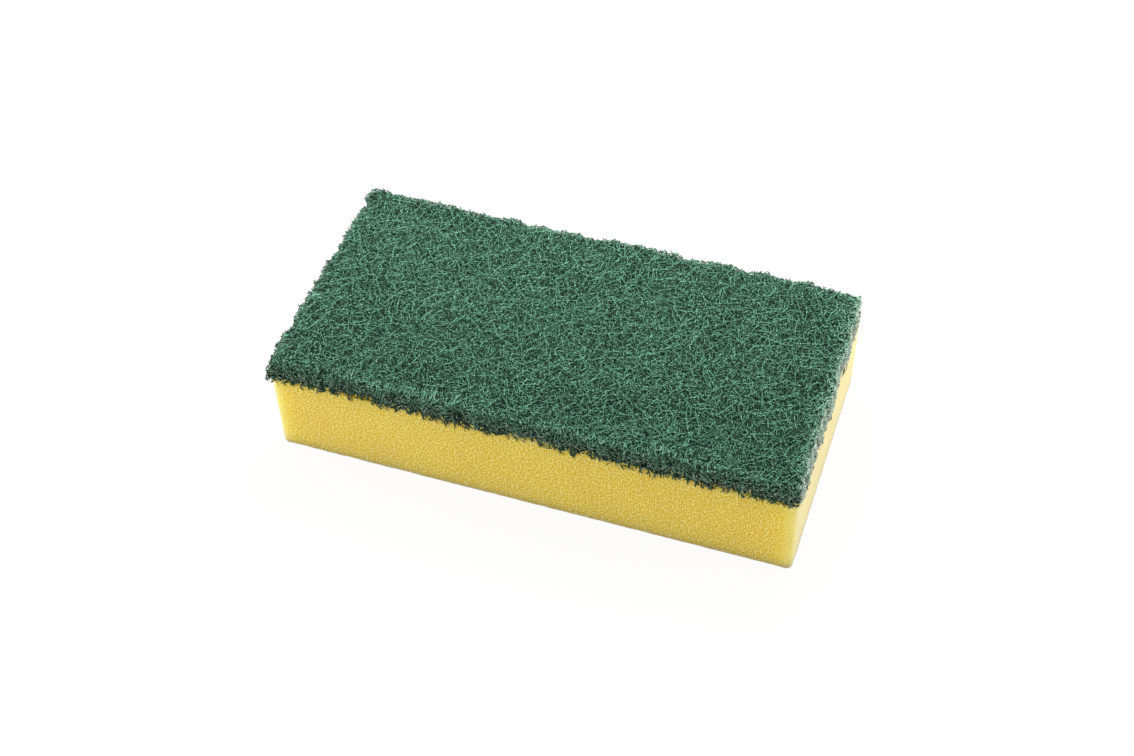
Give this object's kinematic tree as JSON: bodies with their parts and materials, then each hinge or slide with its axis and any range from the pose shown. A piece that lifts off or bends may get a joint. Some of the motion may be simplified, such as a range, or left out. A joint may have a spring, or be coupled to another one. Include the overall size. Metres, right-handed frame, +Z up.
{
  "type": "cleaning sponge",
  "caption": "Rectangular cleaning sponge: a soft foam block with a coarse nonwoven scouring pad bonded over its whole upper face, for wiping and scrubbing by hand.",
  "frame": {"origin": "under the middle of the block, on the foam's lower face, which it rests on", "axes": "+X along the length, +Y across the width to the back, +Z up through the foam to the scouring pad"},
  "size_m": [0.1408, 0.0708, 0.032],
  "materials": {
    "foam": "open-cell foam, cut faces with fine pores",
    "web": "lofty nonwoven web of coarse resin-coated fibres"
  },
  "bodies": {
    "root": {"foam_block": "foam", "scouring_pad": "web"}
  },
  "joints": []
}
